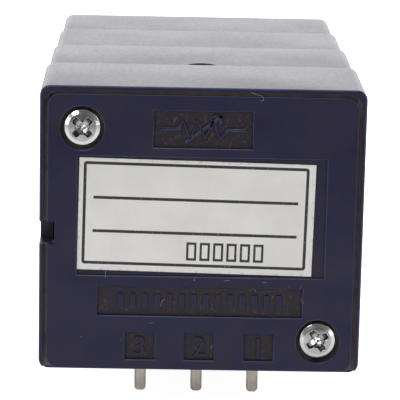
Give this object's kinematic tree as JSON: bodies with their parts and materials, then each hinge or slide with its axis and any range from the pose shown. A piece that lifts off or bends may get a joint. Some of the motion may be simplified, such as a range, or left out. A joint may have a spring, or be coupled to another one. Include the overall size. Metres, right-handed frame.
{
  "type": "quad gang potentiometer",
  "caption": "Rotary potentiometer with stacked drafted housings on one shaft, a threaded bushing, rows of board terminals below and a recessed rear panel with a paper label.",
  "frame": {"origin": "on the shaft axis, at the mounting face of the front plate", "axes": "the shaft points along -Y, the rear face looks along +Y, the terminals point down along -Z, and +X is the terminal 3 side"},
  "size_m": [0.0274, 0.0711, 0.0291],
  "materials": {
    "housing_plastic": "navy moulded plastic, fine satin",
    "plate_metal": "die-cast, bare",
    "bushing_metal": "nickel-plated brass",
    "washer_bronze": "phosphor bronze",
    "shaft_metal": "nickel-plated brass, turned",
    "stop_steel": "stamped",
    "ring_steel": "spring steel",
    "screw_metal": "bright zinc plated",
    "label_paper": "coated paper, printed",
    "board_laminate": "phenolic laminate with a printed track",
    "terminal_metal": "silver-plated brass",
    "rivet_brass": "brass",
    "rotor_plastic": "natural acetal",
    "wiper_bronze": "spring bronze"
  },
  "bodies": {
    "case": {"front_plate": "plate_metal", "bushing": "bushing_metal", "thrust_washer": "washer_bronze", "gang_housing_1": "housing_plastic", "gang_housing_2": "housing_plastic", "gang_housing_3": "housing_plastic", "gang_housing_4": "housing_plastic", "element_board_1": "board_laminate", "element_board_2": "board_laminate", "element_board_3": "board_laminate", "element_board_4": "board_laminate", "terminal_1_1": "terminal_metal", "terminal_1_2": "terminal_metal", "terminal_1_3": "terminal_metal", "terminal_2_1": "terminal_metal", "terminal_2_2": "terminal_metal", "terminal_2_3": "terminal_metal", "terminal_3_1": "terminal_metal", "terminal_3_2": "terminal_metal", "terminal_3_3": "terminal_metal", "terminal_4_1": "terminal_metal", "terminal_4_2": "terminal_metal", "terminal_4_3": "terminal_metal", "terminal_rivets_1": "rivet_brass", "terminal_rivets_2": "rivet_brass", "terminal_rivets_3": "rivet_brass", "terminal_rivets_4": "rivet_brass", "case_screw_1": "screw_metal", "case_screw_2": "screw_metal", "label": "label_paper"},
    "spindle": {"shaft": "shaft_metal", "stop_disc": "stop_steel", "retaining_ring": "ring_steel", "rotor_1": "rotor_plastic", "rotor_2": "rotor_plastic", "rotor_3": "rotor_plastic", "rotor_4": "rotor_plastic", "wiper_1": "wiper_bronze", "wiper_2": "wiper_bronze", "wiper_3": "wiper_bronze", "wiper_4": "wiper_bronze"}
  },
  "joints": [
    {"name": "shaft_turn", "type": "hinge", "parent": "case", "child": "spindle", "pos_m": [0, 0, 0], "axis": [0, 1, 0], "range_deg": [-150, 150]}
  ]
}
